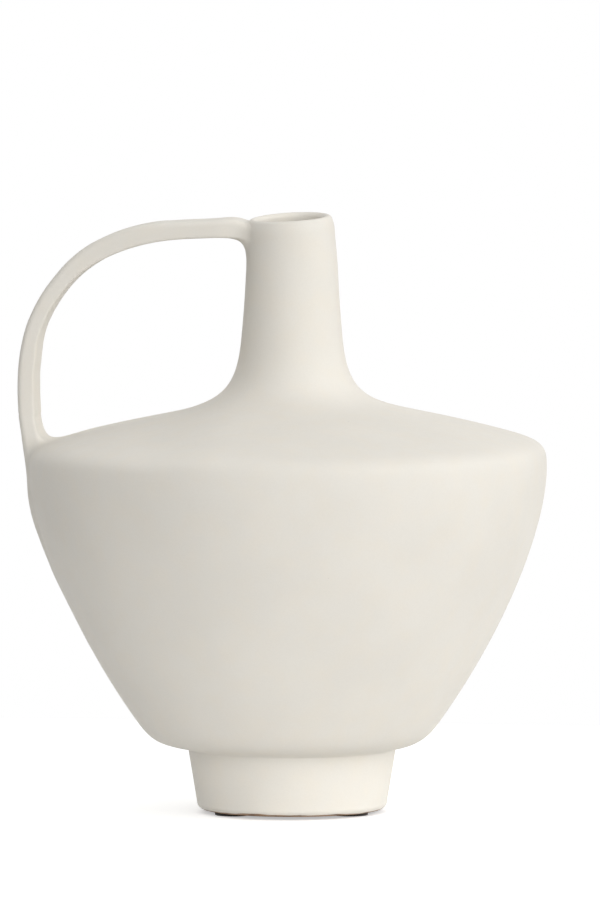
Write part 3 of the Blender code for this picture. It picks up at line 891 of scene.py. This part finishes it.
def strap_tree(joined_clay):
    """Makes the strap round its path and works it into the body's skin."""
    tree, sizes = node_tree(
        "GeometryNodeTree",
        "Strap worked into the body",
        (
            ("Path", "Geometry", None),
            ("Body Skin", "Object", None),
            ("Grain", "Float", STRAP_GRAIN),
            ("Finish", "Material", None),
        ),
        (("Geometry", "Geometry"),),
    )
    aside = {"Geometry": sizes["Path"], "Offset": (0.0, -RIBBON_HALF_WIDTH, 0.0)}
    path = got(tree, "GeometryNodeSetPosition", aside)
    sideways = got(tree, "ShaderNodeCombineXYZ", {"Y": 1.0})
    pull = {"Mesh": path, "Offset": sideways, "Offset Scale": 2 * RIBBON_HALF_WIDTH}
    ribbon = got(tree, "GeometryNodeExtrudeMesh", pull, mode="EDGES")
    skin = got(tree, "GeometryNodeObjectInfo", {"Object": sizes["Body Skin"]}, "Geometry")
    position = got(tree, "GeometryNodeInputPosition")
    normal = got(tree, "GeometryNodeInputNormal")
    surfaces = {"Ribbon": stored(ribbon, "lean", normal, "FLOAT_VECTOR")}
    surfaces["Skin"] = stored(skin, "lean", normal, "FLOAT_VECTOR")

    def clay_at(place):
        return grouped(tree, joined_clay, {**surfaces, "Place": place})

    low, high = STRAP_SPACE
    inputs = {"Density": -clay_at(position)["Clay"], "Background": -1.0, "Min": low, "Max": high}
    for axis, letter in enumerate("XYZ"):
        cells = (high[axis] - low[axis]) / sizes["Grain"]
        inputs["Resolution " + letter] = got(tree, "FunctionNodeFloatToInt", {0: cells}, rounding_mode="CEILING")
    volume = got(tree, "GeometryNodeVolumeCube", inputs)
    form = got(tree, "GeometryNodeVolumeToMesh", {"Volume": volume, "Threshold": 0.0}, resolution_mode="GRID")
    for _ in range(SURFACE_PASSES):
        step = scaled(normal, -clay_at(position)["Clay"])
        form = got(tree, "GeometryNodeSetPosition", {"Geometry": form, "Offset": step})
    field = clay_at(position)
    at_skirt = eased(field["Skirt"], SKIRT_SHADE) * eased(field["Depth"], SKIRT_SHADE_DEPTH)
    shade = mixed(at_skirt, normal, field["Body Normal"], "VECTOR")
    finish_tree(stored(form, "shade", shade, "FLOAT_VECTOR"), sizes["Finish"])
    return tree


# ---- finishes


def clay_surface_group():
    """What a brushed and fired clay surface does: cloudy tone, fine grain, turning lines and pinholes."""
    tree, given = node_tree(
        "ShaderNodeTree",
        "Clay surface",
        (
            ("Place", "Vector", None),
            ("Cloud Size", "Float", 0.05),
            ("Grain Size", "Float", 0.001),
            ("Pit Spacing", "Float", 0.012),
        ),
        (("Cloud", "Float"), ("Grain", "Float"), ("Lines", "Float"), ("Pits", "Float")),
    )
    place = given["Place"]
    cells = carried(put(tree, "ShaderNodeTexVoronoi", {"Vector": place, "Scale": 1.0 / given["Pit Spacing"]}))
    cell_share = got(tree, "ShaderNodeSeparateColor", {0: cells["Color"]})
    in_pit = calc("POWER", cell_share, PIT_RARITY) * PIT_SHARE - cells["Distance"]
    found = {
        "Cloud": noise(place, given["Cloud Size"], 3.0),
        "Grain": noise(place, given["Grain Size"], 4.0),
        "Lines": noise(place * LINE_STRETCH, LINE_SPACING, 2.0),
        "Pits": eased(in_pit, (0.0, PIT_SHARE / 3)),
    }
    put(tree, "NodeGroupOutput", found)
    return tree


def surface_at(place, clay_surface, sizes):
    """The clay surface at a place, with its sizes of clouds and grain and its spacing of pits."""
    cloud, grain, pits = sizes
    inputs = {"Place": place, "Cloud Size": cloud, "Grain Size": grain, "Pit Spacing": pits}
    return grouped(place.tree, clay_surface, inputs)


def slip_coat_group(clay_surface):
    """The off-white slip coat, shared by the coated clay and the edge of the base."""
    tree, given = node_tree(
        "ShaderNodeTree",
        "Slip coat",
        (("Place", "Vector", None), ("Colour", "Color", (*COAT_COLOUR, 1.0))),
        (("Colour", "Color"), ("Roughness", "Float"), ("Height", "Float")),
    )
    fine = surface_at(given["Place"], clay_surface, FINE_SURFACE)
    broad = surface_at(given["Place"], clay_surface, BROAD_SURFACE)
    tone = eased(fine["Cloud"], NOISE_RANGE, *CLOUD_TONES) * eased(fine["Grain"], GRAIN_RANGE, *GRAIN_TONES)
    tone = tone * eased(fine["Pits"], (0.0, 1.0), 1.0, PIT_TONE)
    warm = eased(broad["Cloud"], WARM_RANGE, 0.0, WARM_SHARE)
    height = fine["Grain"] * GRAIN_HEIGHT
    for value, depth in (
        (broad["Grain"], RIPPLE_HEIGHT),
        (broad["Cloud"], DENT_HEIGHT),
        (fine["Lines"], LINE_HEIGHT),
        (fine["Pits"], -PIT_DEPTH),
    ):
        height = calc("MULTIPLY_ADD", value, depth, height)
    found = {
        "Colour": scaled(mixed(warm, given["Colour"], (*WARM_COLOUR, 1.0), "RGBA"), tone),
        "Roughness": eased(broad["Grain"], NOISE_RANGE, *COAT_ROUGHNESS),
        "Height": height,
    }
    put(tree, "NodeGroupOutput", found)
    return tree


def material(name):
    """A material, its shader and the object's own coordinates in it."""
    made_of = bpy.data.materials.new(name)
    made_of.use_nodes = True
    tree = made_of.node_tree
    return made_of, tree.nodes["Principled BSDF"], got(tree, "ShaderNodeTexCoord", output="Object")


def bumped(height):
    return got(height.tree, "ShaderNodeBump", {"Height": height, "Strength": 1.0, "Distance": 1.0})


def coat_finish(slip_coat, colour):
    """Matte off-white slip over fired clay."""
    made_of, shader, place = material("slip_coat")
    coat = grouped(place.tree, slip_coat, {"Place": place, "Colour": (*colour, 1.0)})
    inputs = {"Base Color": coat["Colour"], "Roughness": coat["Roughness"], "Normal": bumped(coat["Height"])}
    feed(shader, {**inputs, "Specular IOR Level": COAT_SHINE})
    return made_of


def base_finish(slip_coat, clay_surface, colour, clay_colour):
    """The coat round the base runs out in a wavy line above bare brown clay."""
    made_of, shader, place = material("bare_clay_base")
    coat = grouped(place.tree, slip_coat, {"Place": place, "Colour": (*colour, 1.0)})
    clay = surface_at(place, clay_surface, BARE_SURFACE)
    cover = got(place.tree, "ShaderNodeAttribute", output="Fac", attribute_name="coated")
    frayed = calc("MULTIPLY_ADD", clay["Grain"], FRAY, cover - FRAY / 2)
    edge = eased(frayed, FRAY_RANGE)
    dark = tuple(value * BARE_DARKEST for value in clay_colour)
    light = tuple(min(value * BARE_LIGHTEST, 1.0) for value in clay_colour)
    brown = mixed(eased(clay["Cloud"], NOISE_RANGE), (*dark, 1.0), (*light, 1.0), "RGBA")
    brown = scaled(brown, eased(clay["Pits"], (0.0, 1.0), 1.0, BARE_PIT_TONE))
    bare_roughness = eased(clay["Grain"], NOISE_RANGE, *BARE_ROUGHNESS)
    inputs = {
        "Base Color": mixed(edge, brown, coat["Colour"], "RGBA"),
        "Roughness": mixed(edge, bare_roughness, coat["Roughness"]),
        "Specular IOR Level": COAT_SHINE,
        "Normal": bumped(mixed(edge, clay["Grain"] * BARE_GRAIN_HEIGHT, coat["Height"])),
    }
    feed(shader, inputs)
    return made_of


def felt_finish(clay_surface, colour):
    """Dark pressed felt with lighter fibres."""
    made_of, shader, place = material("pressed_felt")
    felt = surface_at(place, clay_surface, FELT_SURFACE)
    light = tuple(value * FELT_LIGHTEST for value in colour)
    fibres = eased(felt["Grain"], FIBRE_RANGE) * eased(felt["Cloud"], FELT_CLOUD_RANGE, *FIBRE_SHARES)
    inputs = {
        "Base Color": mixed(fibres, (*colour, 1.0), (*light, 1.0), "RGBA"),
        "Roughness": eased(felt["Grain"], NOISE_RANGE, *FELT_ROUGHNESS),
        "Sheen Weight": FELT_SHEEN,
        "Specular IOR Level": FELT_SHINE,
        "Normal": bumped(felt["Grain"] * FELT_HEIGHT),
    }
    feed(shader, inputs)
    return made_of


# ---- stage


def point_at(obj, target):
    obj.rotation_euler = (target - obj.location).to_track_quat("-Z", "Y").to_euler()


def from_camera_side(azimuth, elevation):
    """Direction from the vase towards something at an azimuth from straight in front, in degrees."""
    a, e = math.radians(azimuth), math.radians(elevation)
    return Vector((math.sin(a) * math.cos(e), -math.cos(a) * math.cos(e), math.sin(e)))


def seen_directly(tree):
    """1 for rays that see the backdrop itself, straight or in a reflection or through glass."""
    path = carried(put(tree, "ShaderNodeLightPath"))
    both = calc("MAXIMUM", path["Is Camera Ray"], path["Is Glossy Ray"])
    return calc("MAXIMUM", both, path["Is Transmission Ray"])


def studio_world(dome):
    """A soft studio dome with a few broad lights in it, that is seen as white."""
    world = bpy.data.worlds.new("studio")
    bpy.context.scene.world = world
    world.use_nodes = True
    tree = world.node_tree
    tree.nodes.clear()
    way = got(tree, "ShaderNodeTexCoord", output="Generated")
    _, _, up = parts(way)
    above_table = calc("GREATER_THAN", up, 0.0)
    strength = 0.0
    for azimuth, elevation, level in DOME_LIGHTS:
        facing = calc("DOT_PRODUCT", way, tuple(from_camera_side(azimuth, elevation)))
        lit = calc("POWER", calc("MAXIMUM", facing, 0.0), DOME_NARROWNESS)
        if elevation > 0:
            lit = lit * above_table
        strength = calc("MULTIPLY_ADD", lit, level * dome, strength)
    light = got(tree, "ShaderNodeBackground", {"Strength": strength})
    white = got(tree, "ShaderNodeBackground", {"Color": (1.0, 1.0, 1.0, 1.0), "Strength": 1.0})
    seen = got(tree, "ShaderNodeMixShader", {0: seen_directly(tree), 1: light, 2: white})
    put(tree, "ShaderNodeOutputWorld", {"Surface": seen})


def studio_floor(colour):
    """A white table that keeps the vase's shadow and otherwise reads as the white backdrop."""
    mesh = bpy.data.meshes.new("floor")
    half = TABLE_HALF_SIZE
    mesh.from_pydata([(-half, -half, 0), (half, -half, 0), (half, half, 0), (-half, half, 0)], [], [(0, 1, 2, 3)])
    floor = bpy.data.objects.new("floor", mesh)
    bpy.context.scene.collection.objects.link(floor)
    made_of = bpy.data.materials.new("white_table")
    made_of.use_nodes = True
    tree = made_of.node_tree
    tree.nodes.clear()
    matte = got(tree, "ShaderNodeBsdfDiffuse", {"Color": (*colour, 1.0)})
    glow = got(tree, "ShaderNodeEmission", {"Strength": seen_directly(tree) * TABLE_GLOW})
    both = got(tree, "ShaderNodeAddShader", {0: matte, 1: glow})
    put(tree, "ShaderNodeOutputMaterial", {"Surface": both})
    mesh.materials.append(made_of)


def softbox(name, azimuth, elevation, distance, size, power):
    light = bpy.data.lights.new(name, "AREA")
    light.shape = "DISK"
    light.size = size
    light.energy = power
    lamp = bpy.data.objects.new(name, light)
    lamp.location = LOOK_AT + from_camera_side(azimuth, elevation) * distance
    point_at(lamp, LOOK_AT)
    bpy.context.scene.collection.objects.link(lamp)


def photo_camera():
    """A long lens from a little above and a little to the right, as in the photograph."""
    camera = bpy.data.objects.new("camera", bpy.data.cameras.new("camera"))
    camera.data.sensor_width = SENSOR
    camera.data.lens = SENSOR * CAMERA_DISTANCE / VIEW_HEIGHT
    camera.data.clip_end = CAMERA_DISTANCE * 10
    camera.location = LOOK_AT + from_camera_side(CAMERA_AZIMUTH, CAMERA_ELEVATION) * CAMERA_DISTANCE
    point_at(camera, LOOK_AT)
    bpy.context.scene.collection.objects.link(camera)
    bpy.context.scene.camera = camera


# ---- settings


def length_setting(name, description, default):
    return bpy.props.FloatProperty(name=name, description=description, default=default, unit="LENGTH")


def colour_setting(name, description, default):
    return bpy.props.FloatVectorProperty(
        name=name, description=description, default=default, subtype="COLOR", min=0.0, max=1.0
    )


class VaseShape(bpy.types.PropertyGroup):
    """Sizes of the clay form"""

    belly_radius: length_setting("Belly radius", "Radius of the widest ring", (bowl_high.x - bowl_low.x) / 2)
    rim_height: length_setting(
        "Rim height", "Height of the lip above the underside of the clay", rim_high.z - CLAY_BASE
    )
    belly_lean: length_setting("Belly lean", "How far the belly sits towards the handle from the foot and neck", 0.0018)
    axis_offset: length_setting("Foot and neck offset", "How far foot and neck sit away from the handle", 0.0003)
    shoulder_droop: length_setting("Shoulder droop", "How far the shoulder sags on the handle's side", 0.0022)
    rim_tilt: bpy.props.FloatProperty(
        name="Rim tilt",
        description="How much the lip slopes, down towards the handle and the front",
        default=math.radians(4.05),
        subtype="ANGLE",
    )
    rim_sag: length_setting("Rim sag", "How far the lip dips at the handle and opposite it", 0.00025)
    rim_shift: length_setting("Rim shift", "How far the top of the neck bends towards the handle", 0.0013)
    waviness: length_setting("Waviness", "Depth of the hand's slow dents in the wall", 0.00025)


class VaseFinish(bpy.types.PropertyGroup):
    """Colours of the finishes"""

    coat_colour: colour_setting("Coat colour", "Colour of the slip coat", COAT_COLOUR)
    clay_colour: colour_setting("Clay colour", "Colour of the bare fired clay", (0.37, 0.25, 0.17))
    felt_colour: colour_setting("Felt colour", "Colour of the pads under the foot", (0.035, 0.030, 0.026))


class VaseStage(bpy.types.PropertyGroup):
    """Light and floor round the vase"""

    floor_colour: colour_setting("Floor colour", "Colour of the table", (0.83, 0.83, 0.83))
    dome_light: bpy.props.FloatProperty(
        name="Dome light", description="Level of the light from all round", default=1.0, min=0.0
    )
    window_power: bpy.props.FloatProperty(
        name="Window power",
        description="Power of the soft light on the right",
        default=3.2,
        min=0.0,
        subtype="POWER",
    )


# ---- operators


def hand_faults(shape):
    """The small faults of the hand as the tree's inputs."""
    return {label: getattr(shape, setting) for label, setting in HAND_FAULTS.items()}


class VASE_OT_turn_body(bpy.types.Operator):
    """Turn the base, foot, belly, shoulder, neck and rim"""

    bl_idname = "vase.turn_body"
    bl_label = "Turn body"

    def execute(self, context):
        shape, finish = context.scene.vase_shape, context.scene.vase_finish
        line, joints = turned_line(shape.belly_radius, shape.rim_height)
        clay_surface = clay_surface_group()
        slip_coat = slip_coat_group(clay_surface)
        coat = coat_finish(slip_coat, finish.coat_colour)
        bare = base_finish(slip_coat, clay_surface, finish.coat_colour, finish.clay_colour)
        sections = (
            ("foot_wall", "base", "foot"),
            ("lower_bowl", "foot", "belly"),
            ("shoulder", "belly", "neck"),
            ("neck", "neck", "rim"),
        )

        # Each piece's node, outline, joint strips, slot and material
        base_inside = inside_line(line, joints["base"] - 1, joints["base"], shape.rim_height)[0]
        outline = line[: joints["base"] + 1] + [base_inside, Vector((0, base_inside.y))]
        plans = [("base_disc", outline, (joints["base"],), "bare_clay", bare)]
        for node, low, high in sections:
            first, last = joints[low], joints[high]
            inside = inside_line(line, first, last, shape.rim_height)
            outline = line[first : last + 1] + inside + [line[first]]
            plans.append((node, outline, (last - first, len(outline) - 2), "coat", coat))
        first, rim_inside = joints["rim"], inside_line(line, joints["rim"] - 1, joints["rim"], shape.rim_height)[0]
        outline = line[first:] + straight(line[-1], rim_inside, RIM_STEPS)[1:] + [line[first]]
        plans.append(("rim_coil", outline, (len(outline) - 2,), "coat", coat))

        tree, faults = turned_clay_tree(), hand_faults(shape)
        pieces = []
        for node, outline, joint_strips, _, clothing in plans:
            host = line_mesh(node + "_outline", outline)
            pieces.append((made(node + "_clay", host, tree, {**faults, "Finish": clothing}), joint_strips))
        shade_over_joints(pieces)
        mark_coat_edge(pieces[0][0])
        for (piece, _), (node, _, _, slot, _) in zip(pieces, plans):
            settle(piece, slot, node)
        return {"FINISHED"}


class VASE_OT_work_strap(bpy.types.Operator):
    """Pull the strap handle and work it into the neck and the belly"""

    bl_idname = "vase.work_strap"
    bl_label = "Work strap"

    def execute(self, context):
        shape = context.scene.vase_shape
        line, joints = turned_line(shape.belly_radius, shape.rim_height)
        host = line_mesh("skin_outline", line[joints["base"] : joints["lip"] + LIP_STEPS // 2 + 1])
        skin = made("body_skin", host, bpy.data.node_groups["Turned clay"], hand_faults(shape))
        belly_line = line[joints["foot"] : joints["belly"] + 1]
        stations, widths = strap_stations(shape.belly_radius, shape.rim_height, belly_line, shape.belly_lean)
        tree = strap_tree(joined_clay_tree())
        coat = bpy.data.materials["slip_coat"]
        grain = STRAP_GRAIN * 1
        sizes = {"Body Skin": skin, "Grain": grain, "Finish": coat}
        strap = made("strap_handle", strap_host(stations, widths), tree, sizes)
        bpy.data.objects.remove(skin, do_unlink=True)
        shade = strap.data.attributes["shade"]
        strap.data.normals_split_custom_set_from_vertices([Vector(item.vector).normalized() for item in shade.data])
        strap.data.attributes.remove(strap.data.attributes["shade"])
        settle(strap, "coat", "handle", "neck_fillet", "shoulder_fillet")
        return {"FINISHED"}


class VASE_OT_glue_pads(bpy.types.Operator):
    """Glue three felt pads under the foot"""

    bl_idname = "vase.glue_pads"
    bl_label = "Glue pads"

    def execute(self, context):
        felt = felt_finish(bpy.data.node_groups["Clay surface"], context.scene.vase_finish.felt_colour)
        for number in range(1, PAD_COUNT + 1):
            node = f"foot_pad_{number}"
            low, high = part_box(node)
            radius, thickness = (high.x - low.x) / 2, high.z - low.z
            outline = [Vector((radius * step / PAD_RINGS, 0)) for step in range(PAD_RINGS)]
            edge = Vector((radius - PAD_EDGE_ROUND, PAD_EDGE_ROUND))
            outline += [edge + direction(math.radians(angle)) * PAD_EDGE_ROUND for angle in PAD_EDGE_TURNS]
            top = Vector((radius, thickness))
            outline += straight(outline[-1], top, PAD_SIDE_STEPS)[1:]
            outline += [Vector((radius * share, thickness)) for share in (PAD_TOP_SHARE, 0)]
            values = {
                "Turns": PAD_TURNS,
                "Foot of axis": ((low.x + high.x) / 2, (low.y + high.y) / 2, low.z),
                "Waviness": PAD_UNEVENNESS,
                "Wave length": PAD_WAVE_LENGTH,
                "Finish": felt,
            }
            tree = bpy.data.node_groups["Turned clay"]
            pad = made(f"felt_pad_{number}", line_mesh("pad_outline", outline), tree, values)
            pad.data.attributes.remove(pad.data.attributes["strip"])
            settle(pad, "pad", node)
        return {"FINISHED"}


class VASE_OT_set_stage(bpy.types.Operator):
    """Set up the white table, the soft studio light and the camera"""

    bl_idname = "vase.set_stage"
    bl_label = "Set stage"

    def execute(self, context):
        stage = context.scene.vase_stage
        context.scene.view_settings.view_transform = "Standard"
        studio_world(stage.dome_light)
        studio_floor(stage.floor_colour)
        softbox("window", *WINDOW_PLACE, WINDOW_SIZE, stage.window_power)
        photo_camera()
        return {"FINISHED"}


OPERATORS = (VASE_OT_turn_body, VASE_OT_work_strap, VASE_OT_glue_pads, VASE_OT_set_stage)


class VASE_PT_panel(bpy.types.Panel):
    """The vase's pieces and settings"""

    bl_idname = "VASE_PT_panel"
    bl_label = "Ceramic vase"
    bl_space_type = "VIEW_3D"
    bl_region_type = "UI"
    bl_category = "Vase"

    def draw(self, context):
        for group in (context.scene.vase_shape, context.scene.vase_finish, context.scene.vase_stage):
            box = self.layout.box()
            for name in group.__annotations__:
                box.prop(group, name)
        for operator in OPERATORS:
            self.layout.operator(operator.bl_idname)


CLASSES = (VaseShape, VaseFinish, VaseStage, *OPERATORS, VASE_PT_panel)


def register():
    for item in CLASSES:
        bpy.utils.register_class(item)
    bpy.types.Scene.vase_shape = bpy.props.PointerProperty(type=VaseShape)
    bpy.types.Scene.vase_finish = bpy.props.PointerProperty(type=VaseFinish)
    bpy.types.Scene.vase_stage = bpy.props.PointerProperty(type=VaseStage)


def unregister():
    del bpy.types.Scene.vase_stage, bpy.types.Scene.vase_finish, bpy.types.Scene.vase_shape
    for item in reversed(CLASSES):
        bpy.utils.unregister_class(item)


def main():
    register()
    bpy.ops.vase.turn_body()
    bpy.ops.vase.work_strap()
    bpy.ops.vase.glue_pads()
    bpy.ops.vase.set_stage()
    bpy.context.view_layer.update()


if __name__ == "__main__":
    main()
